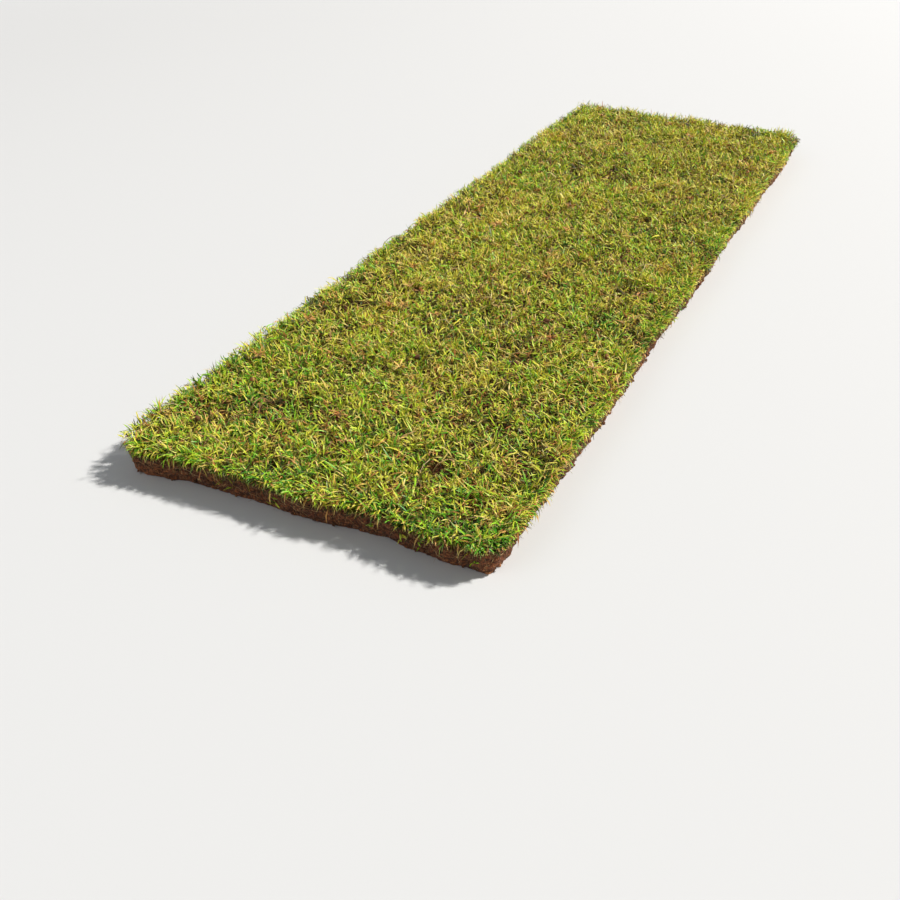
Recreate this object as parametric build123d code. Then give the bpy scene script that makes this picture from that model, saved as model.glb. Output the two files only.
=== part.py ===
from build123d import *
import math
import os

# One strip of turf as it lies after it is unrolled, in millimetres.
# X runs along the strip, Y across it and Z up from the ground. The near end, which was torn
# off by hand, is at -X. The far end is cut straight.

# Strip
strip_length = 1250.0
strip_width = 400.0
mat_thickness = 27.0      # soil and roots, between the cutter's blade and the soil surface
sward_height = 20.0       # mown grass, from the soil surface to the level of the blade tips

# Edges
corner_radius = 16.0      # corners of the strip, seen from above
side_waver = 1.8          # how far the cutter wandered along the two long sides
side_waver_pitch = 420.0
end_waver = 4.0           # how uneven the two ends are
end_waver_pitch = 170.0
near_end_flare = 27.0     # how far the near end reaches out towards its left corner
crumbled_edge = 3.0       # soil that broke away along the lower edge of the mat
crumbled_height = 9.0
blade_overhang = 7.0      # how far the outer grass leans past the cut side
canopy_shoulder = 9.0     # how far the blade tips draw back again at the upper edge

# Hollows and humps that are wider than single tufts
soil_relief = 1.3
canopy_relief = 2.8
hump_pitch = 250.0

# How closely the outline and the two surfaces are sampled
side_pitch = 110.0
end_pitch = 52.0
surface_pitch = 60.0


def waver(distance, pitch, shift):
    """A number between -1 and 1 that wanders along a line and doesn't repeat soon."""
    turn = 2 * math.pi * distance / pitch
    return 0.62 * math.sin(turn + shift) + 0.38 * math.sin(1.43 * turn + 1.9 * shift + 0.8)


def steps(low, high, pitch):
    """Even steps from low to high, about one pitch apart."""
    count = max(3, round((high - low) / pitch))
    return [low + (high - low) * step / count for step in range(count + 1)]


def side_y(x, toward, shift):
    """Where a long side lies at x. It is the left side for toward = 1 and the right one for -1."""
    return toward * (strip_width / 2 + side_waver * waver(x, side_waver_pitch, shift))


def far_end_x(y):
    return strip_length / 2 + end_waver * waver(y, end_waver_pitch, 4.0)


def near_end_x(y):
    across = min(max(0.5 + y / strip_width, 0.0), 1.0)
    flare = near_end_flare * (across**1.6 - 0.4)
    return -strip_length / 2 - flare - end_waver * waver(y, end_waver_pitch, 1.1)


def outline(outset, height):
    """The strip seen from above, at a height, with its sides moved out by the same amount."""
    turn_in = strip_width / 2 - corner_radius
    near_right, near_left = near_end_x(-turn_in), near_end_x(turn_in)
    far_right, far_left = far_end_x(-turn_in), far_end_x(turn_in)

    def side(toward, shift, near, far):
        return [
            (x, side_y(x, toward, shift) + toward * outset)
            for x in steps(near + corner_radius, far - corner_radius, side_pitch)
        ]

    across = steps(-turn_in, turn_in, end_pitch)
    right = side(-1, 0.4, near_right, far_right)
    left = side(1, 2.9, near_left, far_left)
    near = [(near_end_x(y) - outset, y) for y in across]
    far = [(far_end_x(y) + outset, y) for y in across]

    forth, back, up, down = (1, 0), (-1, 0), (0, 1), (0, -1)
    left.reverse()
    near.reverse()
    lines = [
        Spline(*right, tangents=[forth, forth]),
        Spline(right[-1], far[0], tangents=[forth, up]),
        Spline(*far, tangents=[up, up]),
        Spline(far[-1], left[0], tangents=[up, back]),
        Spline(*left, tangents=[back, back]),
        Spline(left[-1], near[0], tangents=[back, down]),
        Spline(*near, tangents=[down, down]),
        Spline(near[-1], right[0], tangents=[down, forth]),
    ]
    return Pos(0, 0, height) * make_face(lines)


def rolling_surface(level, relief, shift):
    """A gently rolling surface that reaches past the strip on every side."""
    reach_x = strip_length / 2 + near_end_flare + 2 * surface_pitch
    reach_y = strip_width / 2 + 2 * surface_pitch

    def height(x, y):
        lengthwise = waver(x + 0.35 * y, hump_pitch, shift)
        crosswise = waver(y - 0.2 * x, 0.8 * hump_pitch, shift + 2.0)
        return level + relief * (0.6 * lengthwise + 0.4 * crosswise)

    rows = [
        [Vector(x, y, height(x, y)) for y in steps(-reach_y, reach_y, surface_pitch)]
        for x in steps(-reach_x, reach_x, surface_pitch)
    ]
    return Face.make_surface_from_array_of_points(rows, tol=0.05, min_deg=3)


def below(surface):
    """All the space under a surface, down to well below the ground."""
    return extrude(surface, amount=3 * (mat_thickness + sward_height), dir=(0, 0, -1))


soil_level = mat_thickness
tip_level = mat_thickness + sward_height
under_soil = below(rolling_surface(soil_level, soil_relief, 0.7))
under_tips = below(rolling_surface(tip_level, canopy_relief, 3.3))

# The mat stands on its cut underside, with its lower edge crumbled away.
mat_block = loft(
    [
        outline(-crumbled_edge, 0),
        outline(0, crumbled_height),
        outline(0, soil_level),
        outline(0, tip_level),
    ]
)
root_mat = mat_block & under_soil

# The grass leans out over the cut side, furthest a third of the way up, and its tips draw back.
canopy_block = loft(
    [
        outline(blade_overhang / 2, soil_level - sward_height / 2),
        outline(blade_overhang, soil_level + sward_height / 3),
        outline(blade_overhang - canopy_shoulder / 3, soil_level + 0.8 * sward_height),
        outline(blade_overhang - canopy_shoulder, tip_level + 2 * canopy_relief),
    ]
)
grass_sward = (canopy_block & under_tips) - under_soil

# The origin is on the ground, under the middle of the strip's whole reach.
reach = Compound([root_mat, grass_sward]).bounding_box().center()
to_middle = Pos(-reach.X, -reach.Y, 0)

os.makedirs("parts", exist_ok=True)
for name, piece in {"root_mat": root_mat, "grass_sward": grass_sward}.items():
    placed = to_middle * piece
    placed.label = name
    export_step(placed, f"parts/{name}.step")
    size = placed.bounding_box().size
    print(name, "solids", len(placed.solids()), "volume", round(placed.volume), "size", size)
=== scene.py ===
import math

import bmesh
import bpy
import numpy as np
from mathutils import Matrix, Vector
from mathutils.bvhtree import BVHTree
from mathutils.geometry import delaunay_2d_cdt


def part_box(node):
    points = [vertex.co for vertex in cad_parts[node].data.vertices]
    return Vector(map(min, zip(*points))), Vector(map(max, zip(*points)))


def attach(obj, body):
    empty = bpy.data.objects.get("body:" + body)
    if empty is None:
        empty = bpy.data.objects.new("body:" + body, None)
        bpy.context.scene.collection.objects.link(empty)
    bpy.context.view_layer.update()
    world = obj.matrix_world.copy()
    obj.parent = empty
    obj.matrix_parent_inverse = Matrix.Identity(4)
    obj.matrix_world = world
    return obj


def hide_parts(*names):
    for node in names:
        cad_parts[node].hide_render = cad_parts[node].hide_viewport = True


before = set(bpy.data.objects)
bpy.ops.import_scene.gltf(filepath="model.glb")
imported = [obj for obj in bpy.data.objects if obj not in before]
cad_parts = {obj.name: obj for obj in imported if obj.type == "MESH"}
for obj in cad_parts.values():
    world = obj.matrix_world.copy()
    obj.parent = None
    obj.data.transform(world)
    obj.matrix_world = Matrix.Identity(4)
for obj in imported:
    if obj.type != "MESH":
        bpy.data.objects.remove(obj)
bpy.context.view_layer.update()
scene = bpy.context.scene
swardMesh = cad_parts["grass_sward"].data


def unit(vectors):
    return vectors / np.linalg.norm(vectors, axis=-1, keepdims=True).clip(1e-9)


# Level directions, turned from +X by these angles.
def aimed(angles):
    return np.stack([np.cos(angles), np.sin(angles)], -1)


# For entries in groups of these sizes: which group each is in, and its number there.
def grouped(sizes):
    which = np.repeat(np.arange(len(sizes)), sizes)
    return which, np.arange(len(which)) - (np.cumsum(sizes) - sizes)[which]


# Random numbers, a share of them in the first range and the others in the second.
def eitherOf(share, first, second, total, rng):
    inFirst = rng.random(total) < share
    return np.where(inFirst, rng.uniform(*first, total), rng.uniform(*second, total))


def those(things, which):
    return {key: value[which] for key, value in things.items()}


def evenGrid(low, high, pitch):
    xs, ys = np.arange(low[0], high[0], pitch), np.arange(low[1], high[1], pitch)
    return np.stack(np.meshgrid(xs, ys, indexing="ij"), -1).reshape(-1, 2)


# Random fields

# One even random number from 0 to 1 for each whole-number place.
def latticeValue(cells, seed):
    factors = np.array([374761393, 668265263, 1103515245])[: cells.shape[1]]
    mixed = cells.astype(np.int64) @ factors + seed * 1442695041
    mixed = (mixed ^ (mixed >> 13)) * 1274126177
    mixed = mixed ^ (mixed >> 16)
    return (mixed & 0xFFFFFF) / float(0x1000000)


# Smooth noise from -1 to 1 over points of 2 or 3 coordinates.
def smoothNoise(points, pitch, seed):
    scaled = points / pitch
    low = np.floor(scaled)
    part = scaled - low
    part = part * part * (3 - 2 * part)
    total = np.zeros(len(points))
    for corner in np.ndindex(*(2,) * points.shape[1]):
        weight = np.prod(np.where(corner, part, 1 - part), axis=1)
        total += weight * latticeValue(low + corner, seed)
    return 2 * total - 1


# Several layers of smooth noise, each half as wide and half as strong as the one before.
def roughNoise(points, pitch, seed, layers=3):
    total = sum(smoothNoise(points, pitch / 2**k, seed + k) / 2**k for k in range(layers))
    return total / (2 - 2 ** (1 - layers))


# For each point the middle of its clump and a random number of the clump's own, how far that
# middle is, and how far the next one is.
def nearestClump(points, spacing, seed):
    cell, middle = np.floor(points / spacing), points
    nearest = second = np.full(len(points), np.inf)
    for offset in np.ndindex(*(3,) * points.shape[1]):
        other = cell + offset - 1
        jitter = np.stack([latticeValue(other, seed + k) for k in range(points.shape[1])], 1)
        at = (other + 0.1 + 0.8 * jitter) * spacing
        away = np.linalg.norm(points - at, axis=1)
        closer = away < nearest
        second = np.where(closer, nearest, np.minimum(second, away))
        nearest, middle = np.where(closer, away, nearest), np.where(closer[:, None], at, middle)
    return middle, latticeValue(np.floor(middle / spacing), seed + 7), nearest, second


# The strip's shape, read from the CAD nodes

shapeReading = dict(
    gridStep=0.008,  # between the places where the heights are read
    edgeStep=0.006,
    sideHeight=0.016,  # the height at which the cut sides are read
    cornerRadius=0.020,
)


def treeOf(mesh):
    faces = [face.vertices[:] for face in mesh.polygons]
    return BVHTree.FromPolygons([vertex.co for vertex in mesh.vertices], faces)


matTree, swardTree = treeOf(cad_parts["root_mat"].data), treeOf(swardMesh)
matLow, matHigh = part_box("root_mat")
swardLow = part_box("grass_sward")[0]


def hitFrom(tree, start, direction):
    hit = tree.ray_cast(Vector(start), Vector(direction))[0]
    return hit if hit else Vector((math.nan,) * 3)


# Reads a node's upper face on an even grid a little inside its edges. What comes back is a
# function that tells the height at any places.
def heightsOf(tree):
    inset = 0.03
    xs = np.arange(matLow.x + inset, matHigh.x - inset + 1e-6, shapeReading["gridStep"])
    ys = np.arange(matLow.y + inset / 2, matHigh.y - inset / 2 + 1e-6, shapeReading["gridStep"])
    grid = np.array([[hitFrom(tree, (x, y, 1), (0, 0, -1)).z for y in ys] for x in xs])

    def heightAt(points):
        i = np.clip((points[:, 0] - xs[0]) / (xs[1] - xs[0]), 0, len(xs) - 1.001)
        j = np.clip((points[:, 1] - ys[0]) / (ys[1] - ys[0]), 0, len(ys) - 1.001)
        a, b = np.floor(i).astype(int), np.floor(j).astype(int)
        u, v = i - a, j - b
        near, far = (grid[row, b] * (1 - v) + grid[row, b + 1] * v for row in (a, a + 1))
        return near * (1 - u) + far * u

    return heightAt


# The four cut sides as curves: how far each lies out, along the strip or across it.
def readEdges():
    height, step = shapeReading["sideHeight"], shapeReading["edgeStep"]
    xs = np.arange(matLow.x + 0.045, matHigh.x - 0.03, step)
    ys = np.arange(matLow.y + 0.02, matHigh.y - 0.02, step)
    found = {}
    for across, along, way in (("right", "near", 1), ("left", "far", -1)):
        found[across] = xs, [hitFrom(matTree, (x, -way, height), (0, way, 0)).y for x in xs]
        found[along] = ys, [hitFrom(matTree, (-way, y, height), (way, 0, 0)).x for y in ys]
    return found


soilAt, tipsAt, edges = heightsOf(matTree), heightsOf(swardTree), readEdges()


# How far inside the cut sides each point lies, and the direction straight out of the strip.
def insideOf(points):
    gaps, signs = [], []
    for axis, first, second in ((0, "near", "far"), (1, "right", "left")):
        here, other = points[:, axis], points[:, 1 - axis]
        low, high = here - np.interp(other, *edges[first]), np.interp(other, *edges[second]) - here
        gaps.append(np.minimum(low, high))
        signs.append(np.where(low < high, -1.0, 1.0))
    gap, sign, radius = np.stack(gaps, 1), np.stack(signs, 1), shapeReading["cornerRadius"]
    beyond = (radius - gap).clip(0)
    reach = np.hypot(*beyond.T)
    inCorner = (beyond > 0).all(1)
    straight = sign * ((gap[:, 0] < gap[:, 1])[:, None] == [True, False])
    turned = beyond * sign / reach.clip(1e-9)[:, None]
    gap = np.where(inCorner, radius - reach, gap.min(1))
    return gap, np.where(inCorner[:, None], turned, straight)


print("shape read")


# Meshes from arrays

# Nothing goes below this height, so that nothing flickers in the ground.
lowest = 0.0001

# One map holds the colours of everything thin: each column is one kind of blade or root, and
# the map runs up the column from its foot to its tip.
toneColumns = 64
columnMargin = 0.12


def columnPlaces(tone, across, along):
    column = np.clip((tone * toneColumns).astype(int), 0, toneColumns - 1)
    inColumn = columnMargin + (1 - 2 * columnMargin) * across
    return np.stack(np.broadcast_arrays((column + inColumn) / toneColumns, 0.02 + 0.96 * along), -1)


# Blades use the columns in pairs of the same kind: a lit one and a darker one, which is painted shade.
def bladeTone(kind, inShade):
    pair = np.clip((kind * toneColumns / 2).astype(int), 0, toneColumns // 2 - 1)
    return (2 * pair + inShade + 0.5) / toneColumns


# Each part has its places, corners, face sizes and places on the map.
def joinedMesh(name, parts):
    shift, moved = 0, []
    for places, corners, sizes, onMap in parts:
        moved.append((places, corners + shift, sizes, onMap))
        shift += len(places)
    places, corners, sizes, onMap = (np.concatenate(column) for column in zip(*moved))
    mesh = bpy.data.meshes.new(name)
    mesh.vertices.add(len(places))
    mesh.vertices.foreach_set("co", places.astype(np.float32).ravel())
    mesh.loops.add(len(corners))
    mesh.loops.foreach_set("vertex_index", corners.astype(np.int32))
    mesh.polygons.add(len(sizes))
    starts = np.concatenate([[0], np.cumsum(sizes)[:-1]])
    mesh.polygons.foreach_set("loop_start", starts.astype(np.int32))
    layer = mesh.uv_layers.new(name="OFBake")
    layer.uv.foreach_set("vector", onMap.astype(np.float32).ravel())
    mesh.update(calc_edges=True)
    mesh.validate()
    return mesh


def placed(name, data, at=(0, 0, 0), ahead=(0, 0, -1)):
    thing = bpy.data.objects.new(name, data)
    thing.location, thing.rotation_euler = at, Vector(ahead).to_track_quat("-Z", "Y").to_euler()
    scene.collection.objects.link(thing)
    return thing


def addPiece(mesh, material, replaced=()):
    mesh.polygons.foreach_set("use_smooth", np.ones(len(mesh.polygons), bool))
    mesh.materials.append(material)
    thing = placed(mesh.name, mesh)
    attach(thing, "root")
    if replaced:
        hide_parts(*replaced)
    print(mesh.name, "triangles", len(mesh.loops) - 2 * len(mesh.polygons))


# The middle line of each blade, and the direction across it on each stretch. Tilt is from
# upright, bend is added to it towards the tip, and curl turns the blade sideways.
def spines(blades, marks):
    at, spine, sides = blades["base"], [blades["base"]], []
    for start, end in zip(marks, marks[1:]):
        middle = (start + end) / 2
        tilt = blades["tilt"] + blades["bend"] * middle
        turn = blades["turn"] + blades["curl"] * middle
        plain = np.stack([-np.sin(turn), np.cos(turn), 0 * turn], 1)
        level = aimed(turn) * np.sin(tilt)[:, None]
        level = level + blades["lean"] * np.cos(tilt).clip(0)[:, None]
        ahead = unit(np.column_stack([level, np.cos(tilt)]))
        roll = (blades["roll"] * (0.5 + middle))[:, None]
        sides.append(plain * np.cos(roll) + np.cross(ahead, plain) * np.sin(roll))
        at = at + ahead * (blades["length"] * (end - start))[:, None]
        spine.append(at)
    return spine, sides


def bladeMarks(segments):
    return np.linspace(0, 1, segments + 1) ** 0.85


mowing = dict(
    unevenCut=(-0.002, 0.005),  # how far the tips end below or above the sward's surface
    footReach=0.007,  # how far past the cut side a blade may grow from its shoot
    overhang=(0.005, 0.0125),  # how far they may reach past the cut side
    ragged=(0.05, 0.5),  # how that comes and goes along the edge: pitch and share
    least=0.3,  # the least share of a blade that is left
)


# Mows the blades to the height of the sward and shortens what reaches too far past the sides.
def trimmed(blades, rng):
    look = mowing
    gap, outward = insideOf(blades["base"])
    base = blades["base"].copy()
    base[:, :2] -= outward * (-gap - look["footReach"]).clip(0)[:, None]
    spine = spines({**blades, "base": base}, bladeMarks(3))[0]
    high = np.max(spine, axis=0)[:, 2]
    top = tipsAt(base) + rng.uniform(*look["unevenCut"], len(base))
    upright = np.clip((top - base[:, 2]) / (high - base[:, 2]).clip(1e-5), look["least"], 1)
    outBase, outTip = -insideOf(base)[0], -insideOf(spine[-1])[0]
    pitch, share = look["ragged"]
    ragged = 0.95 + share * smoothNoise(base[:, :2], pitch, 120)
    room = rng.uniform(*look["overhang"], len(base)) * ragged - outBase
    sideways = np.clip(room / (outTip - outBase).clip(1e-5), look["least"], 1)
    sideways = np.where(outTip > look["overhang"][0], sideways, 1)
    return {**blades, "base": base, "length": blades["length"] * np.minimum(upright, sideways)}


# The corners of one thing, again for each of its copies.
def repeated(corners, places, count):
    return (corners.ravel() + places * np.arange(count)[:, None]).ravel()


# A ribbon for each blade: quads along its spine and a pointed tip.
def ribbons(blades, segments):
    count = len(blades["length"])
    marks = bladeMarks(segments)
    spine, sides = spines(blades, marks)
    rows = []
    for k in range(segments):
        swell = 0.7 + 0.3 * min(marks[k] / 0.4, 1) - 0.45 * max(marks[k] - 0.45, 0) / 0.55
        half = blades["width"][:, None] / 2 * swell
        side = (sides[max(k - 1, 0)] + sides[k]) / 2
        rows += [spine[k] - side * half, spine[k] + side * half]
    places = np.stack(rows + [spine[-1]], 1)
    places[:, :, 2] = np.maximum(places[:, :, 2], blades["floor"][:, None])
    across = np.append(np.tile([0, 1], segments), 0.5)
    along = np.append(np.repeat(marks[:-1], 2), 1.0)
    onMap = columnPlaces(blades["tone"][:, None], across, along)
    pattern = [2 * k + c for k in range(segments - 1) for c in (0, 1, 3, 2)]
    pattern = np.array(pattern + [2 * segments + c for c in (-2, -1, 0)])
    corners = repeated(pattern, 2 * segments + 1, count)
    sizes = np.tile([4] * (segments - 1) + [3], count)
    return places.reshape(-1, 3), corners, sizes, onMap.reshape(-1, 2)[corners]


# A thin tube along each line of points.
def tubes(lines, radii, tone, sides):
    count, steps = lines.shape[:2]
    ahead = unit(np.gradient(lines, axis=1))
    helper = np.where(np.abs(ahead[..., 2:]) > 0.8, [1.0, 0, 0], [0, 0, 1.0])
    first = unit(np.cross(ahead, helper))
    second = np.cross(ahead, first)
    angles = 2 * np.pi * np.arange(sides)[:, None] / sides
    ring = first[:, :, None] * np.cos(angles) + second[:, :, None] * np.sin(angles)
    places = lines[:, :, None] + ring * radii[:, :, None, None]
    places[..., 2] = np.maximum(places[..., 2], lowest)
    k, s = np.meshgrid(np.arange(steps - 1), np.arange(sides), indexing="ij")
    k, s = np.stack([k, k, k + 1, k + 1], -1), np.stack([s, s + 1, s + 1, s], -1)
    corners = repeated(k * sides + s % sides, steps * sides, count)
    along, across = (np.tile(way.ravel(), count) for way in (k / (steps - 1), s / sides))
    onMap = columnPlaces(np.repeat(tone, k.size), across, along)
    return places.reshape(-1, 3), corners, np.full(len(corners) // 4, 4), onMap


# Materials

def linear(colour):
    channels = [v / 255 for v in colour]
    return tuple(((c + 0.055) / 1.055) ** 2.4 if c > 0.04045 else c / 12.92 for c in channels) + (1.0,)


# Adds nodes. Their inputs are values or sockets, in order or by name.
class NodeMaker:
    def __init__(self, tree):
        self.tree = tree

    def add(self, kind, *inputs, byName={}, **settings):
        node = self.tree.nodes.new("ShaderNode" + kind)
        for key, value in settings.items():
            setattr(node, key, value)
        for key, value in [*enumerate(inputs), *byName.items()]:
            if isinstance(value, bpy.types.NodeSocket):
                self.tree.links.new(value, node.inputs[key])
            else:
                node.inputs[key].default_value = value
        return node

    # Mixes two shaders into the surface of the output node.
    def blend(self, share, first, second, output="Material Output"):
        mixed = self.add("MixShader", share, first, second).outputs[0]
        self.tree.links.new(mixed, self.tree.nodes[output].inputs["Surface"])


class Shader(NodeMaker):
    def __init__(self, name, roughness):
        self.material = bpy.data.materials.new(name)
        self.material.use_nodes = True
        super().__init__(self.material.node_tree)
        self.surface = self.tree.nodes["Principled BSDF"]
        self.surface.inputs["Roughness"].default_value = roughness

    def math(self, operation, *values):
        return self.add("Math", *values, operation=operation).outputs[0]

    def times(self, a, b):
        return self.math("MULTIPLY", a, b)

    # A value from low to high becomes one from start to end.
    def between(self, value, *lowHighStartEnd, smooth="SMOOTHSTEP"):
        return self.add("MapRange", value, *lowHighStartEnd, interpolation_type=smooth).outputs[0]

    def ramp(self, value, stops):
        node = self.add("ValToRGB", value)
        elements = node.color_ramp.elements
        while len(elements) < len(stops):
            elements.new(0.5)
        for element, (position, colour) in zip(elements, stops):
            element.position = position
            element.color = linear(colour)
        return node.outputs["Color"]

    def noise(self, place, scale, detail=3.0, distortion=0.0):
        inputs = {"Vector": place, "Scale": scale, "Detail": detail, "Distortion": distortion}
        return self.add("TexNoise", byName=inputs).outputs["Fac"]

    def mix(self, share, a, b, blend="MIX"):
        inputs = {0: share, 6: a, 7: b}
        return self.add("Mix", byName=inputs, data_type="RGBA", blend_type=blend).outputs[2]

    def dim(self, colour, strength):
        grey = self.add("CombineColor", strength, strength, strength).outputs[0]
        return self.mix(1.0, colour, grey, "MULTIPLY")

    def offMiddle(self, value):
        return self.math("ABSOLUTE", self.math("SUBTRACT", value, 0.5))

    # The place on the map of thin things, how far across in columns, and how far up.
    def onMap(self):
        place = self.add("UVMap", uv_map="OFBake").outputs[0]
        split = self.add("SeparateXYZ", place).outputs
        return place, self.times(split[0], toneColumns), split[1]

    def coloured(self, colour):
        self.tree.links.new(colour, self.surface.inputs["Base Color"])
        return self.material


grassFinish = dict(
    kinds=[  # from the first column to the last
        (0.00, (80, 172, 42)), (0.15, (150, 226, 54)), (0.34, (224, 250, 66)),
        (0.50, (255, 252, 86)), (0.64, (255, 240, 94)), (0.78, (255, 234, 130)),
        (0.86, (255, 200, 112)), (0.93, (222, 142, 80)), (1.00, (120, 66, 40)),
    ],
    # The foot colour is painted shade low on each blade, and the pale dry tip is partly a painted
    # highlight.
    footShade=(34, 22, 8), footShadeHeight=0.38, dryTipHighlight=(255, 246, 160),
    greenTips=0.3,  # the share of columns whose blades have no dry tip
    shadeStrength=0.16,  # of the brightness of a fresh, lit blade: the painted shade of the darker column
    uneven=0.08,  # how far a column's brightness may fall below the others'
    ribs=25.0, ribStrength=0.05, foldWidth=(0.03, 0.11),
    foldShadeStrength=0.9,  # of the brightness beside the fold: painted shade in the fold
    deepFolds=0.6,  # the share of blades with a deep fold, a deeper painted shade
    deepFoldShadeStrength=0.28, roughness=0.38, gloss=0.2, lightThrough=0.09, throughTint=(255, 242, 130),
)


def grassMaterial():
    look = grassFinish
    shader = Shader("mownGrass", look["roughness"])
    shader.surface.inputs["Specular IOR Level"].default_value = look["gloss"]
    _, wide, along = shader.onMap()
    column, across = shader.math("FLOOR", wide), shader.math("FRACT", wide)
    chance = shader.add("TexWhiteNoise", byName={"W": column}, noise_dimensions="1D").outputs[0]
    half = shader.math("DIVIDE", column, 2.0)
    tone = shader.math("MULTIPLY_ADD", shader.math("FLOOR", half), 2 / toneColumns, 1 / toneColumns)
    # The second column of each pair is a darker copy, painted shade, and no two are quite alike.
    inShade = shader.math("GREATER_THAN", shader.math("FRACT", half), 0.25)
    fresh = shader.math("MULTIPLY_ADD", inShade, look["shadeStrength"] - 1, 1.0)
    uneven = shader.math("MULTIPLY_ADD", chance, -look["uneven"], 1.0)
    strength = shader.times(fresh, uneven)
    colour = shader.dim(shader.ramp(tone, look["kinds"]), strength)
    # The foot is painted darker, as painted shade where little light reaches it, and some tips are dry.
    shaded = shader.between(along, 0.0, look["footShadeHeight"], 0.95, 0.0)
    colour = shader.mix(shaded, colour, linear(look["footShade"]))
    # The pale tip is a dry tip and partly a painted highlight, weaker on blades in painted shade.
    tip = shader.between(along, 0.5, 1.0, 0.0, 0.85)
    dry = shader.times(tip, shader.math("GREATER_THAN", chance, look["greenTips"]))
    colour = shader.mix(shader.times(dry, strength), colour, linear(look["dryTipHighlight"]))
    # Fine ribs run up the blade on both sides of a fold painted darker as shade; on many blades that
    # painted shade is deep, a painted shadow between what reads as two blades.
    ribs = shader.math("SINE", shader.times(across, look["ribs"]))
    again = shader.math("FRACT", shader.times(chance, 7.0))
    deep = shader.math("LESS_THAN", again, look["deepFolds"])
    deeper = look["deepFoldShadeStrength"] - look["foldShadeStrength"]
    darkest = shader.math("MULTIPLY_ADD", deep, deeper, look["foldShadeStrength"])
    off = shader.offMiddle(across)
    foldShade = shader.between(off, *look["foldWidth"], darkest, 1.0, smooth="LINEAR")
    ribs = shader.math("MULTIPLY_ADD", ribs, look["ribStrength"], 1.0)
    colour = shader.dim(colour, shader.times(foldShade, ribs))
    tinted = shader.mix(1.0, colour, linear(look["throughTint"]), "MULTIPLY")
    through = shader.add("BsdfTranslucent", tinted).outputs[0]
    shader.blend(look["lightThrough"], shader.surface.outputs[0], through)
    return shader.coloured(colour)


soilFinish = dict(
    grain=[
        (0.30, (52, 31, 19)), (0.46, (104, 66, 41)), (0.58, (152, 100, 63)),
        (0.72, (202, 146, 96)),
    ],
    tint=[(0.32, (178, 150, 134)), (0.68, (255, 232, 210))], hairRoot=(196, 158, 108),
    hairRootShare=0.5,
    hairRoots=[(95.0, 1.2), (170.0, 0.8)],  # how fine each layer is, and how far it wanders
    hollowShadeCrestLight=(0.42, 0.56, 0.35, 1.2),  # from hollow to crest, and how bright each is: painted shade in the hollows, painted light on the crests
    bump=0.0010,
)


def soilMaterial():
    look = soilFinish
    shader = Shader("rootySoil", 0.95)
    place = shader.add("TexCoord").outputs["Object"]
    fine = shader.noise(place, 430.0, 5.0)
    broad = shader.ramp(shader.noise(place, 40.0, 4.0), look["tint"])
    colour = shader.mix(1.0, shader.ramp(fine, look["grain"]), broad, "MULTIPLY")
    # Hair roots show as thin pale lines where a wandering field passes through its middle.
    upright = shader.add("Mapping", place, byName={"Scale": (1.0, 1.0, 0.45)}).outputs[0]
    lines = []
    for scale, wander in look["hairRoots"]:
        off = shader.offMiddle(shader.noise(upright, scale, 1.0, wander))
        lines.append(shader.between(off, 0.003, 0.014, 1.0, 0.0))
    broken = shader.between(shader.noise(place, 130.0, 2.0), 0.44, 0.56, 0.0, 1.0)
    roots = shader.times(shader.math("MAXIMUM", *lines), broken)
    colour = shader.mix(shader.times(roots, look["hairRootShare"]), colour, linear(look["hairRoot"]))
    # Painted shade and light: hollows between the clods are painted darker and their crests lighter.
    crest = shader.add("NewGeometry").outputs["Pointiness"]
    colour = shader.dim(colour, shader.between(crest, *look["hollowShadeCrestLight"]))
    height = shader.math("MULTIPLY_ADD", roots, 0.35, fine)
    inputs = {"Strength": 0.8, "Distance": look["bump"], "Height": height}
    bump = shader.add("Bump", byName=inputs)
    shader.tree.links.new(bump.outputs[0], shader.surface.inputs["Normal"])
    return shader.coloured(colour)


rootFinish = dict(
    kinds=[  # from the first column to the last
        (0.00, (60, 36, 22)), (0.35, (112, 72, 44)), (0.62, (158, 112, 66)),
        (0.84, (204, 162, 106)), (1.00, (236, 214, 166)),
    ],
    joint=(112, 70, 44),
    joints=5.0,  # on each root
    patches=(60.0, 2.0, 0.35, 0.65, 0.72, 1.1),
)
crumbFinish = dict(
    kinds=[
        (0.00, (58, 36, 22)), (0.40, (106, 68, 42)), (0.70, (150, 98, 62)),
        (0.88, (190, 130, 84)), (1.00, (214, 172, 120)),
    ],
    patches=(300.0, 3.0, 0.3, 0.7, 0.7, 1.12),
)


# The column gives a root or crumb its colour. Roots have darker joints as well.
def columnMaterial(name, roughness, look):
    shader = Shader(name, roughness)
    place, wide, along = shader.onMap()
    column = shader.math("DIVIDE", shader.math("FLOOR", wide), toneColumns)
    colour = shader.ramp(column, look["kinds"])
    if "joint" in look:
        stretch = shader.math("FRACT", shader.times(along, look["joints"]))
        inJoint = shader.between(shader.offMiddle(stretch), 0.0, 0.09, 0.7, 0.0)
        colour = shader.mix(inJoint, colour, linear(look["joint"]))
    scale, detail, *strength = look["patches"]
    patches = shader.noise(place, scale, detail)
    return shader.coloured(shader.dim(colour, shader.between(patches, *strength)))


grassLook, soilLook = grassMaterial(), soilMaterial()
rootLook = columnMaterial("strawyRoots", 0.7, rootFinish)
crumbLook = columnMaterial("soilCrumbs", 0.95, crumbFinish)
print("materials made")


# The soil and roots of the mat

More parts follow.
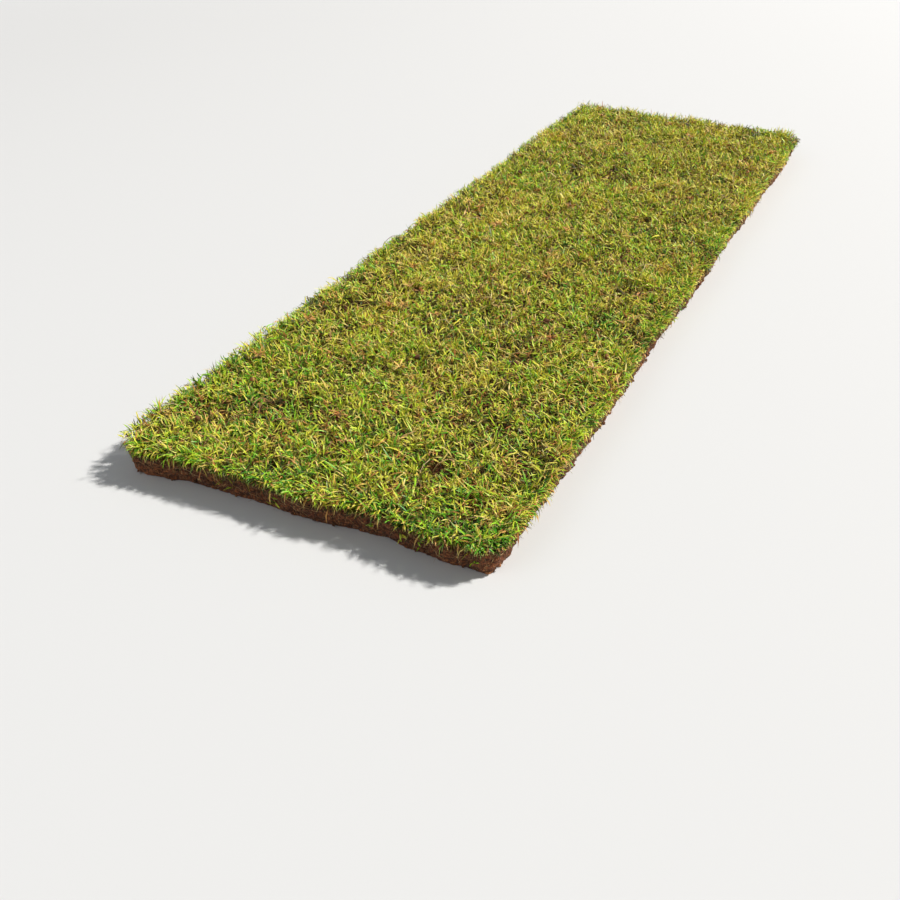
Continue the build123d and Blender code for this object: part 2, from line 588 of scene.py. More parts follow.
matRelief = dict(
    edgeStep=0.0020,  # between points round the edge
    cornerInset=0.022,  # of the places from which the corners are read
    clear=0.06,  # how far the readings start from them
    rows=14,  # between the ground and the soil surface
    innerStep=0.0075,  # between points of the soil surface under the grass
    underStep=0.010,
    underRise=0.0005,  # of the underside above the ground
    hollows=0.0016,  # in the underside
    dragMarks=0.0014,  # that the cutter's blade left along it
    clods=(0.0075, 0.0044, 0.45),  # pitch, depth, and how much of a clod stands out
    crumbs=(0.0042, 0.0018, 0.4), wander=0.0026,
    biteDepth=0.0060,  # where a lump of soil has dropped out of the cut side
    bitePitch=0.045,
    fade=0.010,  # how far inside the edge both faces reach their full relief
    seed=11,
)


def soilRelief(points):
    look = matRelief
    relief = roughNoise(points, 0.022, look["seed"]) * look["wander"]
    for kind, seed in (("clods", look["seed"] + 20), ("crumbs", look["seed"] + 40)):
        pitch, depth, out = look[kind]
        _, size, near, _ = nearestClump(points, pitch, seed)
        relief = relief + (out - near / pitch) * depth * (0.4 + 1.2 * size)
    bite = np.clip(roughNoise(points, look["bitePitch"], look["seed"] + 60, 2) * 2.4 - 0.7, 0, 1)
    return relief - bite * look["biteDepth"]


# A place inside each corner, from which the corner is read in a fan.
def cornerMiddle(towardFar, towardLeft):
    inset = matRelief["cornerInset"]
    y = edges["left" if towardLeft > 0 else "right"][1][-1 if towardFar > 0 else 0]
    x = edges["far" if towardFar > 0 else "near"][1][-1 if towardLeft > 0 else 0]
    return np.array([x - towardFar * inset, y - towardLeft * inset])


# Places all round the strip, clear of it, and the directions from them into it.
def raysInward():
    look = matRelief
    middles = [cornerMiddle(*corner) for corner in ((1, -1), (1, 1), (-1, 1), (-1, -1))]
    starts, inwards = [], []
    for quarter in range(4):
        before, after = middles[quarter - 1], middles[quarter]
        heading = quarter * math.pi / 2
        forward = np.array([math.cos(heading), math.sin(heading)])
        outward = np.array([forward[1], -forward[0]])
        for share in np.arange(0, 1, look["edgeStep"] / ((after - before) @ forward)):
            starts.append(before + (after - before) * share + outward * look["clear"])
            inwards.append(-outward)
        for angle in np.arange(0, math.pi / 2, look["edgeStep"] / look["cornerInset"]):
            turned = outward * math.cos(angle) + forward * math.sin(angle)
            starts.append(after + turned * look["clear"])
            inwards.append(-turned)
    return np.array(starts), np.array(inwards)


# Fills a ring with triangles. The first places are those of the ring, in its order.
def filledFace(ring, pitch, seed, inset):
    grid = evenGrid(ring.min(0), ring.max(0), pitch)
    cells = np.round(grid / pitch)
    jitter = np.stack([latticeValue(cells, seed), latticeValue(cells, seed + 1)], 1) - 0.5
    grid = grid + jitter * pitch * 0.5
    inner = grid[insideOf(grid)[0] > inset]
    places = [Vector(p) for p in np.concatenate([ring, inner])]
    loop = [(k, (k + 1) % len(ring)) for k in range(len(ring))]
    found = delaunay_2d_cdt(places, loop, [], 1, 1e-7)
    return np.array([tuple(p) for p in found[0]]), [tuple(face) for face in found[2]]


# The cut sides as rows of points round the strip, from the ground up to the soil surface.
def cutSides():
    rows = matRelief["rows"]
    starts, inwards = raysInward()
    layers = []
    for k in range(rows + 1):
        share = k / rows
        height = 0.0004 + share * (shapeReading["sideHeight"] + 0.009)
        rays = zip(starts, inwards)
        hits = [hitFrom(matTree, (*start, height), (*inward, 0)) for start, inward in rays]
        ring = np.array([(hit.x, hit.y) for hit in hits])
        level = soilAt(ring) * share
        relief = soilRelief(np.column_stack([ring, level])) * (0.55 if k == 0 else 1.0)
        layers.append(np.column_stack([ring - inwards * relief[:, None], level]))
    return np.array(layers), -inwards


sideLayers, sideOutward = cutSides()


# Places on the cut sides, by how far round the strip (0 to 1) and how far up (0 to 1).
def onSide(around, up):
    rows, count = sideLayers.shape[0] - 1, sideLayers.shape[1]
    i, k = around * count, np.clip(up, 0, 0.999) * rows
    a, b = np.floor(i).astype(int) % count, np.floor(k).astype(int)
    after = (a + 1) % count
    u, v = (i - np.floor(i))[:, None], (k - b)[:, None]
    lower, upper = (sideLayers[r, a] * (1 - u) + sideLayers[r, after] * u for r in (b, b + 1))
    outward = sideOutward[a] * (1 - u) + sideOutward[after] * u
    return lower * (1 - v) + upper * v, np.column_stack([outward, np.zeros(len(i))])


def buildMat():
    look = matRelief
    top, topFaces = filledFace(sideLayers[-1, :, :2], look["innerStep"], 3, 0.006)
    under, underFaces = filledFace(sideLayers[0, :, :2], look["underStep"], 5, 0.012)
    topFade, underFade = (np.clip(insideOf(face)[0] / look["fade"], 0, 1) for face in (top, under))
    lift = soilRelief(np.column_stack([top, 0 * topFade])) * topFade
    topPlaces = np.column_stack([top, soilAt(top) + lift])
    rise = look["underRise"] + np.abs(roughNoise(under, 0.03, 31)) * look["hollows"]
    rise = rise + np.abs(roughNoise(under * [0.12, 1.0], 0.03, 33)) * look["dragMarks"]
    underPlaces = np.column_stack([under, rise * underFade])
    mesh = bmesh.new()
    made = [[mesh.verts.new(p) for p in layer] for layer in sideLayers]
    count = len(sideOutward)
    for lower, upper in zip(made, made[1:]):
        for i in range(count):
            j = (i + 1) % count
            mesh.faces.new((lower[i], lower[j], upper[j], upper[i]))
    underFaces = [face[::-1] for face in underFaces]
    for ring, places, faces in ((made[-1], topPlaces, topFaces), (made[0], underPlaces, underFaces)):
        corners = ring + [mesh.verts.new(p) for p in places[count:]]
        for face in faces:
            mesh.faces.new([corners[k] for k in face])
    data = bpy.data.meshes.new("soil_and_roots")
    mesh.to_mesh(data)
    mesh.free()
    addPiece(data, soilLook, ["root_mat"])


buildMat()


# Crumbs of soil: on the cut sides, and a few lumps between the blades

crumbs = dict(
    onSides=2400, sideRadius=(0.0006, 0.0026), inGrass=45, grassRadius=(0.0018, 0.0036), seed=21,
)


def roughBalls(places, radii, tone, rng, finer):
    ball = bmesh.new()
    bmesh.ops.create_icosphere(ball, subdivisions=2 if finer else 1, radius=1.0)
    ball.verts.ensure_lookup_table()
    shape = np.array([tuple(v.co) for v in ball.verts])
    faces = np.array([[v.index for v in face.verts] for face in ball.faces])
    ball.free()
    count, each = len(places), len(shape)
    stretch = rng.uniform(0.6, 1.25, (count, 1, 3))
    dents = 1 + rng.uniform(-0.28, 0.22, (count, each, 1))
    turned = rng.uniform(0, 2 * np.pi, (count, 1))
    formed = shape[None] * stretch * dents
    x, y, z = formed[..., 0], formed[..., 1], formed[..., 2]
    cos, sin = np.cos(turned), np.sin(turned)
    formed = np.stack([x * cos - y * sin, x * sin + y * cos, z], -1) * radii[:, None, None]
    formed = formed + places[:, None]
    formed[..., 2] = np.maximum(formed[..., 2], lowest)
    corners = repeated(faces, each, count)
    wide, high = (np.tile(0.5 + 0.5 * shape[faces.ravel(), axis], count) for axis in (0, 2))
    onMap = columnPlaces(np.repeat(tone, faces.size), wide, high)
    return formed.reshape(-1, 3), corners, np.full(count * len(faces), 3), onMap


def buildCrumbs():
    look = crumbs
    rng = np.random.default_rng(look["seed"])
    count = look["onSides"]
    low, high = look["sideRadius"]
    radii = low + (high - low) * rng.random(count) ** 3
    places, outward = onSide(rng.random(count), rng.random(count) ** 0.8)
    places = places + outward * (radii * rng.uniform(-0.3, 0.7, count))[:, None]
    places[:, 2] = np.maximum(places[:, 2], radii * 0.9)
    small = roughBalls(places, radii, np.clip(rng.normal(0.42, 0.26, count), 0, 0.99), rng, False)
    at = scattered(look["inGrass"], 0.02, rng)
    radii = rng.uniform(*look["grassRadius"], len(at))
    rise = soilAt(at) + rng.uniform(0.009, 0.014, len(at))
    lumps = roughBalls(np.column_stack([at, rise]), radii, rng.uniform(0.3, 0.95, len(at)), rng, True)
    addPiece(joinedMesh("soil_crumbs", [small, lumps]), crumbLook)


# Random places on the strip, at least so far inside its sides.
def scattered(count, inset, rng):
    xs = rng.uniform(matLow.x, matHigh.x, 4 * count)
    ys = rng.uniform(matLow.y, matHigh.y, 4 * count)
    at = np.column_stack([xs, ys])
    return at[insideOf(at)[0] > inset][:count]


buildCrumbs()


# Roots that hang from the cut sides, and runners at the foot of the grass

# Radius and length are ranges, in metres. Taper is how thick the start and the end are, and
# tone runs from the darkest column to the palest.
rootStrands = dict(
    seed=31,
    hairs=dict(
        count=900, steps=5, length=(0.003, 0.012), radius=(0.00010, 0.00022), taper=(1, 0.25),
        tone=(0.25, 0.85), sides=3, out=(0.0, 0.45), sideways=0.55, rise=(-1.2, -0.1), turn=0.3,
        sink=0.28, inset=0.0008, lowest=0.0006, up=(0.65, (0.45, 1.0), (0.05, 0.5)),
    ),
    clinging=dict(
        count=850, steps=8, radius=(0.00018, 0.00042), taper=(1, 0.4), tone=(0.35, 0.95), sides=3,
    ),
    runners=dict(
        count=620, steps=7, length=(0.012, 0.045), radius=(0.00022, 0.00048), taper=(1, 0.6),
        tone=(0.0, 0.95), darker=1.3, sides=4,
    ),
    # Runners that rise through the grass and bend down again
    arched=dict(
        count=130, steps=8, length=(0.022, 0.050), radius=(0.00040, 0.00070), taper=(1, 0.6),
        tone=(0.45, 0.99), sides=5,
    ),
    # Runners that hang out over the sides, by reach at most, and end in a few leaves
    dangling=dict(
        count=40, steps=8, length=(0.012, 0.026), radius=(0.00022, 0.00048), taper=(1.8, 1.2),
        tone=(0.3, 0.9), sides=4, out=(0.5, 1.0), sideways=0.9, rise=(0.0, 0.6), turn=0.22,
        sink=0.3, inset=0.002, lowest=0.002, reach=0.005,
    ),
    # Roots that were cut off and dragged along the underside
    underneath=dict(
        count=620, steps=8, length=(0.012, 0.050), radius=(0.00015, 0.00040), taper=(1, 0.5),
        tone=(0.4, 0.95), sides=3,
    ),
)


# Tubes, thinner towards their ends. Each step of a walk is the next place of every strand.
def strands(walk, look, rng):
    lines = np.stack(list(walk), 1)
    count, steps = lines.shape[:2]
    radii = rng.uniform(*look["radius"], count)[:, None] * np.linspace(*look["taper"], steps)
    low, high = look["tone"]
    tone = low + (high - low) * rng.random(count) ** look.get("darker", 1)
    return tubes(lines, radii, tone, look["sides"])


# Lines that leave the cut sides, wander and sink. Which way each one ends comes with them.
def droopingLines(look, start, outward, rng):
    count, steps = look["count"], look["steps"]
    sideways = np.cross([0, 0, 1], outward)
    heading = outward * rng.uniform(*look["out"], (count, 1))
    heading = heading + sideways * rng.normal(0, look["sideways"], (count, 1))
    heading[:, 2] = rng.uniform(*look["rise"], count)
    length = rng.uniform(*look["length"], count)
    reach = rng.uniform(0.4, 1.0, count) * look["reach"] if "reach" in look else np.inf
    lines, at = [], start - outward * look["inset"]
    for k in range(steps):
        lines.append(at.copy())
        heading = heading + rng.normal(0, look["turn"], (count, 3)) - [0, 0, look["sink"]]
        at = at + unit(heading) * (length / (steps - 1))[:, None]
        gap, away = insideOf(at[:, :2])
        at[:, :2] -= away * (-gap - reach).clip(0)[:, None]
        at[:, 2] = np.maximum(at[:, 2], look["lowest"])
    return lines, heading


def hangingHairs(look, rng):
    count = look["count"]
    up = eitherOf(*look["up"], count, rng)
    start, outward = onSide(rng.random(count), up)
    return droopingLines(look, start, outward, rng)[0]


def clingingRoots(look, rng):
    count, steps = look["count"], look["steps"]
    around, up = rng.random(count), rng.uniform(0.5, 1.0, count)
    step = rng.uniform(0.25, 0.75, count) / steps
    drift = rng.normal(0, 0.0006, count)
    for k in range(steps):
        place, outward = onSide(around % 1, up)
        yield place + outward * rng.uniform(0.0, 0.0009, (count, 1))
        up = np.clip(up - step * rng.uniform(0.4, 1.4, count), 0.03, 1)
        around = around + drift + rng.normal(0, 0.0003, count)


def edgeRunners(look, rng):
    count, steps = look["count"], look["steps"]
    around, up = rng.random(count), rng.uniform(0.72, 1.0, count)
    length = rng.uniform(*look["length"], count)
    loop = np.linalg.norm(np.diff(sideLayers[-1], axis=0), axis=1).sum()
    drift = length / loop / (steps - 1) * rng.choice([-1, 1], count)
    climb = rng.normal(0, 0.045, count)
    stand = rng.uniform(0.0002, 0.0030, count)
    for k in range(steps):
        place, outward = onSide(around % 1, up)
        bow = math.sin(math.pi * k / (steps - 1))
        place = place + outward * (stand * (0.25 + bow) + rng.normal(0, 0.0004, count))[:, None]
        place[:, 2] += np.clip(up - 0.999, 0, 1) * 0.027 + rng.normal(0, 0.0005, count)
        yield place
        around, up = around + drift, up + climb + rng.normal(0, 0.04, count)


# The next places of lines that wander over the strip, and their new headings.
def wandered(at, heading, step, turn, rng):
    heading = heading + rng.normal(0, turn, len(at))
    return at + aimed(heading) * step[:, None], heading


def archedRunners(look, rng):
    at, steps = scattered(look["count"], 0.012, rng), look["steps"]
    heading = rng.uniform(0, 2 * np.pi, len(at))
    step = rng.uniform(*look["length"], len(at)) / (steps - 1)
    height = rng.uniform(0.6, 1.05, len(at))
    for k in range(steps):
        soil = soilAt(at)
        arch = height * math.sin(math.pi * k / (steps - 1)) ** 0.6
        rise = (tipsAt(at) - soil) * arch
        yield np.column_stack([at, soil + 0.001 + rise])
        at, heading = wandered(at, heading, step, 0.28, rng)


def undersideRoots(look, rng):
    at, steps = scattered(look["count"], 0.008, rng), look["steps"]
    heading = rng.choice([0, np.pi], len(at)) + rng.normal(0, 0.6, len(at))
    step = rng.uniform(*look["length"], len(at)) / (steps - 1)
    for k in range(steps):
        yield np.column_stack([at, rng.uniform(0.0001, 0.0005, len(at))])
        at, heading = wandered(at, heading, step, 0.35, rng)
        gap, outward = insideOf(at)
        at = at - outward * (0.006 - gap).clip(0)[:, None]


def danglingRunners(look, rng):
    start, outward = onSide(rng.random(look["count"]), rng.uniform(0.8, 1.0, look["count"]))
    return droopingLines(look, start, outward, rng)


def buildRoots():
    rng = np.random.default_rng(rootStrands["seed"])
    parts = {"dangling": strands(danglers, rootStrands["dangling"], rng)}
    walks = dict(
        hairs=hangingHairs, clinging=clingingRoots, runners=edgeRunners, arched=archedRunners,
        underneath=undersideRoots,
    )
    for kind, walk in walks.items():
        look = rootStrands[kind]
        parts[kind] = strands(walk(look, rng), look, rng)
    addPiece(joinedMesh("roots_and_runners", parts.values()), rootLook)


ownDraws = np.random.default_rng(rootStrands["seed"] + 1)
danglers, danglerHeadings = danglingRunners(rootStrands["dangling"], ownDraws)
buildRoots()


# The grass

grassGrowth = dict(
    plantSpacing=0.0068,
    plantReach=0.0036,  # how far a plant's shoots stand from its middle
    shoots=(4, 7),  # on each plant, the second number left out
    blades=(3, 5),  # on each shoot, the second number left out
    tuftSpacing=0.030,
    crevice=0.0065,  # how wide the gaps between tufts are
    holePitch=0.015,  # between the small holes in the sward
    hollowPitch=0.055,  # between the wider hollows
    hollowDepth=0.12,  # of the height of the grass
    usualHeight=0.020,  # of the sward, for which the lengths are given
    bladeLength=(0.0075, 0.0150), bladeWidth=(0.0009, 0.0016),
    stemStep=0.0027,  # from one blade on a shoot to the next
    tilt=(0.75, (0.8, 1.4), (0.0, 0.8)),  # of the share that lies flat, and of the others
    bend=(0.35, (-0.6, 0.2), (0.1, 0.9)),  # of the share that turns up, and of the others
    mownLean=(0.06, 0.24),  # the way the last cut bent the grass
    greenerReach=0.35,  # the near end is greener, as far in as this
    drierReach=0.15,  # the right side is drier, as far in as this
    shadeByPlace=(0.72, 0.12, 0.01, 0.01),  # how many are in painted shade (the darker column), from the lowest blade up
    edgeReach=0.012,  # the outer shoots, as far in as this, lean out over the side
    edgeLength=1.45,
    edgeBend=1.8,  # how far they bend down over it, at most
    edgePlants=1300,  # more of them along the very edge
    toneSpread=0.23,  # between the blades of a plant
    deadShare=(0.18, 0.75),  # of the blades of a fresh plant and of a dry one
    sections=5, seed=5,
)


def growPlants(rng):
    look = grassGrowth
    spacing = look["plantSpacing"]
    at = evenGrid(matLow, [end + spacing for end in matHigh], spacing)
    at = at + rng.uniform(-0.5, 0.5, at.shape) * spacing
    along = rng.random(look["edgePlants"])
    rim, outward = onSide(along, 0 * along + 1)
    rim = (rim - outward * rng.uniform(0.001, 0.006, (len(along), 1)))[:, :2]
    at = np.concatenate([at[insideOf(at)[0] > 0], rim])
    middle, tuft, near, second = nearestClump(at, look["tuftSpacing"], 60)
    crevice = np.clip(1.15 - (second - near) / look["crevice"], 0, 1)
    crevice = crevice * np.clip(roughNoise(at, 0.06, 66) * 2.5 + 0.7, 0, 1)
    swirl = np.stack([roughNoise(at, 0.09, 70), roughNoise(at, 0.09, 80)], 1)
    hole = np.clip(smoothNoise(at, look["holePitch"], 68) * 2.4 - 0.6, 0, 1)
    hollow = np.clip(roughNoise(at, look["hollowPitch"], 110) * 2.2 - 0.15, 0, 1)
    kept = rng.random(len(at)) > 0.03 + (0.40 * crevice + 0.45 * hole) * (insideOf(at)[0] > 0.008)
    lean = 0.4 * (at - middle) / look["tuftSpacing"] + 0.3 * swirl
    lean = lean + rng.normal(0, 0.2, at.shape) + look["mownLean"]
    patch = roughNoise(at, 0.12, 90) * 0.5 + smoothNoise(at, 0.035, 95) * 0.35
    tone = 0.45 + 0.25 * patch + 0.12 * (tuft - 0.5) + rng.normal(0, 0.1, len(at))
    tone = tone - 0.15 * np.clip(1 - (at[:, 0] - matLow.x) / look["greenerReach"], 0, 1)
    drier = np.clip(1 - (at[:, 1] - matLow.y) / look["drierReach"], 0, 1)
    dryPatch = np.clip(roughNoise(at, 0.05, 99) * 2.2 - 0.9 + 0.5 * drier, 0, 1)
    dry = rng.random(len(at)) < 0.03 + 0.36 * dryPatch
    slope = (near / look["tuftSpacing"]) ** 2
    dome = (1.08 - 0.5 * slope - 0.3 * crevice) * (1 - look["hollowDepth"] * hollow)
    tall = dome * (0.86 + 0.28 * tuft) * rng.uniform(0.85, 1.15, len(at))
    # How sunk a plant is in crevices, on tuft slopes, in hollows and holes; more of its blades get the
    # painted shade.
    sunk = 0.9 * crevice + 0.5 * slope + 0.35 * hollow + 0.8 * hole
    sunk = np.clip(sunk + rng.normal(0, 0.12, len(at)), 0, 1)
    return those(dict(at=at, lean=lean, tone=tone, dry=dry, tall=tall, sunk=sunk), kept)


def growShoots(plants, rng):
    look = grassGrowth
    of = those(plants, grouped(rng.integers(*look["shoots"], len(plants["at"])))[0])
    total = len(of["at"])
    angle = rng.uniform(0, 2 * np.pi, total)
    away, reach = aimed(angle), np.sqrt(rng.random(total))
    at = of["at"] + away * (reach * look["plantReach"])[:, None]
    gap, outward = insideOf(at)
    spread = away * (reach * rng.uniform(0.3, 1.1, total))[:, None]
    atEdge = np.clip(1 - gap / look["edgeReach"], 0, 1)
    overEdge = outward * (atEdge * rng.uniform(0.2, 0.9, total))[:, None]
    lean = (of["lean"] + spread) * (1 - 0.6 * atEdge)[:, None] + overEdge
    tall = of["tall"] * (tipsAt(at) - soilAt(at)) / look["usualHeight"]
    shoots = dict(of, at=at, lean=lean, tall=tall, angle=angle, gap=gap, atEdge=atEdge, outward=outward)
    return those(shoots, gap > 0.0004)


def growBlades(shoots, rng):
    look = grassGrowth
    shoot, number = grouped(rng.integers(*look["blades"], len(shoots["at"])))
    of, total = those(shoots, shoot), len(shoot)
    rise = (0.0006 + (number + rng.uniform(0, 0.9, total)) * look["stemStep"]) * of["tall"]
    length = rng.uniform(*look["bladeLength"], total) * of["tall"]
    length *= 1 + (look["edgeLength"] - 1) * of["atEdge"]
    length *= np.where(rng.random(total) < 0.06, 1.4, 1.0)
    turn = of["angle"] + number * np.pi * 0.9 + rng.normal(0, 0.8, total)
    outTurn = np.arctan2(of["outward"][:, 1], of["outward"][:, 0])
    overEdge = rng.random(total) < 0.75 * of["atEdge"]
    turn = np.where(overEdge, outTurn + rng.normal(0, 0.7, total), turn)
    tilt = eitherOf(*look["tilt"], total, rng)
    bend = eitherOf(*look["bend"], total, rng)
    bend = bend + rng.uniform(0.0, look["edgeBend"], total) * of["atEdge"]
    tone = of["tone"] + rng.normal(0, look["toneSpread"], total) - 0.12 * of["atEdge"]
    fresh, dry = look["deadShare"]
    dead = rng.random(total) < np.where(of["dry"], dry, fresh)
    tone = np.where(dead, rng.uniform(0.8, 0.96, total), np.clip(tone, 0.0, 0.79))
    tilt = np.where(dead, tilt + rng.uniform(0.1, 0.6, total), tilt)
    # Painted shade: low blades, and more where the plant is sunk, take the darker column.
    low = np.array(look["shadeByPlace"])[number]
    inShade = rng.random(total) < low + 0.55 * of["sunk"] ** 1.5
    soil = soilAt(of["at"])
    base = np.column_stack([of["at"] + of["lean"] * rise[:, None], soil + rise])
    curl, roll = rng.normal(0, 0.5, total), rng.normal(0, 0.4, total)
    width, tone = rng.uniform(*look["bladeWidth"], total), bladeTone(tone, inShade)
    floor = np.where(of["gap"] < 0.012, 0.004, soil + 0.0006)
    blades = dict(
        base=base, turn=turn, tilt=tilt, bend=bend, curl=curl, lean=of["lean"], roll=roll,
        length=length, width=width, tone=tone, floor=floor,
    )
    return trimmed(blades, rng), number < 2


# Blades that don't grow on shoots. A pair is a range, and a single number the spread round 0.
looseBlades = dict(
    # Dead stalks and leaves that lie flat at the foot of the grass
    thatch=dict(
        count=9000, inset=0.001, high=(0.0005, 0.007), tilt=(1.2, 1.6), bend=0.3, curl=0.9, roll=0.8,
        # Of these, 85% take the darker column: painted shade at the foot of the grass.
        length=(0.008, 0.022), width=(0.0007, 0.0016), kinds=(0.86, 0.999), inShade=0.85, lowest=0.0004,
    ),
    # A few pale ones, longer than the rest, that arch over the others
    long=dict(
        count=110, inset=0.02, high=(0.006, 0.012), tilt=(0.5, 1.1), bend=(0.6, 1.3), curl=0.5, roll=0.4,
        length=(0.022, 0.036), width=(0.0009, 0.0015), kinds=[0.60, 0.76, 0.80, 0.88], lowest=0.010,
    ),
    leaves=dict(
        count=7, tilt=(0.7, 2.1), bend=(-0.2, 0.9), curl=0.7, roll=0.6, length=(0.006, 0.012),
        width=grassGrowth["bladeWidth"],
    ),
    rosettes=dict(
        count=34, blades=(11, 18), tilt=(0.5, 1.2), bend=(0.5, 1.3), curl=0.5, roll=0.3,
        length=(0.007, 0.013), width=(0.0010, 0.0018),
    ),
)


def drawn(look, total, rng):
    found = {"lean": np.zeros((total, 2))}
    for key in ("tilt", "bend", "curl", "roll", "length", "width"):
        value = look[key]
        pair = isinstance(value, tuple)
        found[key] = rng.uniform(*value, total) if pair else rng.normal(0, value, total)
    return found


def layLoose(look, rng):
    at = scattered(look["count"], look["inset"], rng)
    total, soil = len(at), soilAt(at)
    base = np.column_stack([at, soil + rng.uniform(*look["high"], total)])
    turn = rng.uniform(0, 2 * np.pi, total)
    blades = {"base": base, "turn": turn, **drawn(look, total, rng), "floor": soil + look["lowest"]}
    # Blades of the share above take the darker column, painted shade.
    if "inShade" in look:
        kind, inShade = rng.uniform(*look["kinds"], total), rng.random(total) < look["inShade"]
    else:
        kind, inShade = rng.choice(look["kinds"], total), 0
    return {**blades, "tone": bladeTone(kind, inShade)}


# Green leaves along each dangling runner.
def leafDanglers(rng):
    look = looseBlades["leaves"]
    which = np.repeat(np.arange(len(danglers[0])), look["count"])
    total, steps = len(which), len(danglers)
    stop = np.minimum(rng.integers(1, steps + 2, total), steps - 1)
    turn = np.arctan2(danglerHeadings[:, 1], danglerHeadings[:, 0])[which]
    return {
        "base": np.array(danglers)[stop, which],
        "turn": turn + rng.normal(0, 1.0, total),
        **drawn(look, total, rng),
        # A fifth of the leaves take the darker column, painted shade.
        "tone": bladeTone(np.clip(rng.normal(0.3, 0.14, total), 0, 0.7), rng.random(total) < 0.2),
        "floor": np.full(total, 0.001),
    }


# Dead plants that lie open like a star on top of the grass.
def layRosettes(rng):
    look = looseBlades["rosettes"]
    middles = scattered(look["count"], 0.015, rng)
    which, order = grouped(rng.integers(*look["blades"], len(middles)))
    total = len(which)
    tone = rng.uniform(0.83, 0.94, len(middles))[which] + rng.normal(0, 0.015, total)
    at = middles[which] + rng.normal(0, 0.0008, (total, 2))
    high = rng.uniform(0.62, 0.80, len(middles))[which]
    soil = soilAt(at)
    return {
        "base": np.column_stack([at, soil + (tipsAt(at) - soil) * high]),
        "turn": order * 2.4 + rng.normal(0, 0.25, total),
        **drawn(look, total, rng),
        # Some take the darker column, painted shade.
        "tone": bladeTone(np.clip(tone, 0.8, 0.96), rng.random(total) < 0.15),
        "floor": soil + 0.008,
    }


def buildGrass():
    rng = np.random.default_rng(grassGrowth["seed"])
    blades, low = growBlades(growShoots(growPlants(rng), rng), rng)
    thatch, longOnes = (layLoose(looseBlades[kind], rng) for kind in ("thatch", "long"))
    longOnes = trimmed(longOnes, rng)
    leaves, rosettes = trimmed(leafDanglers(rng), rng), layRosettes(rng)
    # Each kind with the number of stretches of its blades
    groups = [(those(blades, ~low), 3), (those(blades, low), 2), (thatch, 2)]
    groups += [(longOnes, 6), (leaves, 4), (rosettes, 4)]
    print("blades", len(low))
    sections, xs = grassGrowth["sections"], np.sort(blades["base"][:, 0])
    borders = xs[np.linspace(0, len(xs) - 1, sections + 1).astype(int)]
    borders[0], borders[-1] = -9, 9
    for number in range(sections):
        parts = []
        for kind, segments in groups:
            x = kind["base"][:, 0]
            inside = (x >= borders[number]) & (x < borders[number + 1])
            parts.append(ribbons(those(kind, inside), segments))
        mesh = joinedMesh(f"grass_{number + 1}_of_{sections}", parts)
        addPiece(mesh, grassLook, ["grass_sward"])


buildGrass()
print("grass grown")


# Floor, light and camera

studio = dict(
    floorSize=30.0,
    floorFade=(1.5, 5.0),  # where it starts and ends, from the strip's middle
    floorColour=(228, 229, 230), worldStrength=0.16,
    # Power, size, place and colour. The key lamp stands above the far right, as in the photo.
    keyLamp=(4200.0, 1.35, (7.8, -9.9, 13.2), (1.0, 0.97, 0.92)),
    fillLamp=(10.0, 2.0, (-2.2, 0.9, 2.0), (0.93, 0.97, 1.0)),
)


# Seen by the camera, the floor fades into the white background far from the strip.
def backdropMaterial():
    shader = Shader("paleFloor", 0.9)
    shader.surface.inputs["Base Color"].default_value = linear(studio["floorColour"])
    place = shader.add("NewGeometry").outputs["Position"]
    away = shader.add("VectorMath", place, operation="LENGTH").outputs["Value"]
    seen = shader.add("LightPath").outputs["Is Camera Ray"]
    share = shader.times(shader.between(away, *studio["floorFade"], 0.0, 1.0), seen)
    white = shader.add("Emission", (1, 1, 1, 1), 1.0).outputs[0]
    shader.blend(share, shader.surface.outputs[0], white)
    return shader.material


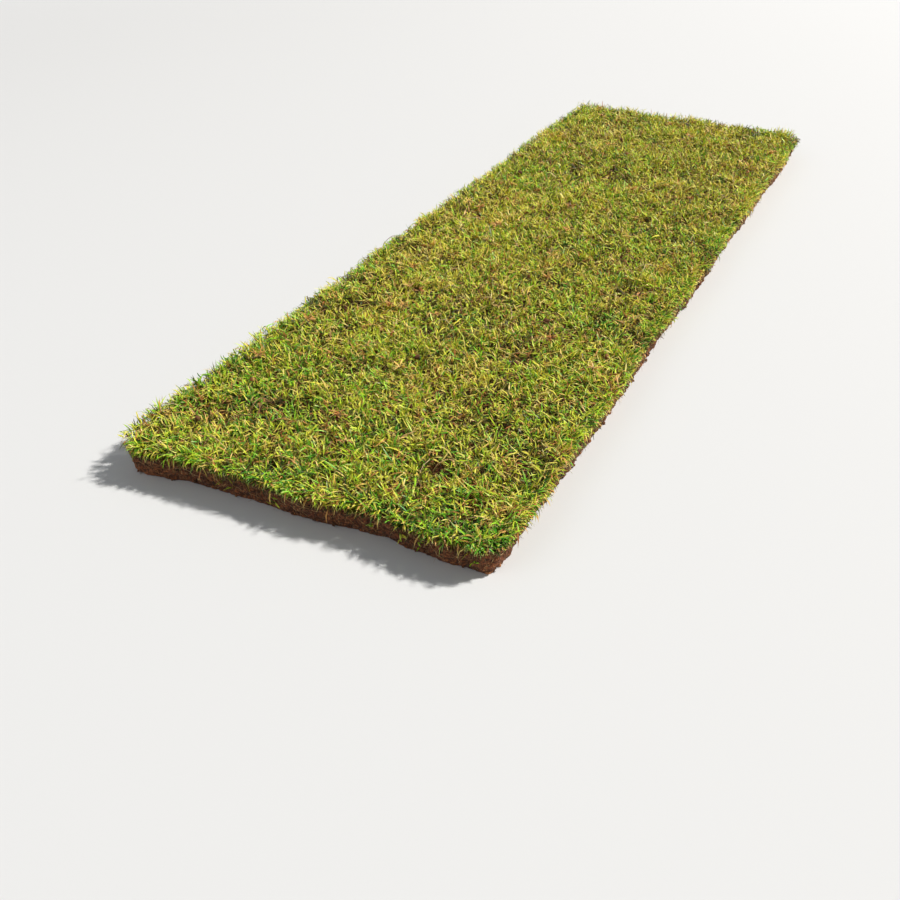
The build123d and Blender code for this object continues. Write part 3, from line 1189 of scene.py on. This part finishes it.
def buildFloor():
    half = studio["floorSize"] / 2
    data = bpy.data.meshes.new("floor")
    corners = [(-half, -half, 0), (half, -half, 0), (half, half, 0), (-half, half, 0)]
    data.from_pydata(corners, [], [(0, 1, 2, 3)])
    data.materials.append(backdropMaterial())
    placed("floor", data)


def areaLamp(name):
    lamp = bpy.data.lights.new(name, "AREA")
    lamp.energy, lamp.size, place, lamp.color = studio[name]
    placed(name, lamp, place, -Vector(place))


def buildLight():
    areaLamp("keyLamp")
    areaLamp("fillLamp")
    scene.world = world = bpy.data.worlds.new("studio")
    world.use_nodes = True
    nodes = NodeMaker(world.node_tree)
    surroundings = nodes.tree.nodes["Background"]
    surroundings.inputs["Color"].default_value = (0.93, 0.95, 1.0, 1.0)
    surroundings.inputs["Strength"].default_value = studio["worldStrength"]
    # The camera, reflections and clear materials see plain white.
    rays = nodes.add("LightPath").outputs
    seen = rays["Is Camera Ray"]
    for kind in ("Is Glossy Ray", "Is Transmission Ray"):
        either = nodes.add("Math", seen, rays[kind], operation="ADD", use_clamp=True)
        seen = either.outputs[0]
    white = nodes.add("Background", (1, 1, 1, 1)).outputs[0]
    nodes.blend(seen, surroundings.outputs[0], white, "World Output")


# The photograph looks down along the strip from in front of its near right corner.
photoView = dict(
    focal=38.6,  # on a 36 mm wide frame
    height=0.595,
    pitch=36.0,  # degrees down
    turn=27.8,  # degrees from the strip's length towards its left
    beforeCorner=0.562,  # from the near right corner back along the strip
    besideCorner=0.248,  # and to the right of it
)


def placeCamera():
    data = bpy.data.cameras.new("photoView")
    data.sensor_width, data.lens = 36.0, photoView["focal"]
    data.clip_start, data.clip_end = 0.02, 60
    atRight = [v.co.x for v in swardMesh.vertices if v.co.y < swardLow.y + 0.02]
    back, aside = photoView["beforeCorner"], photoView["besideCorner"]
    at = min(atRight) - back, swardLow.y - aside, photoView["height"]
    down, turn = math.radians(photoView["pitch"]), math.radians(photoView["turn"])
    ahead = math.cos(down) * math.cos(turn), math.cos(down) * math.sin(turn), -math.sin(down)
    scene.camera = placed("photoView", data, at, ahead)


buildFloor()
buildLight()
placeCamera()
scene.view_settings.view_transform = "Standard"
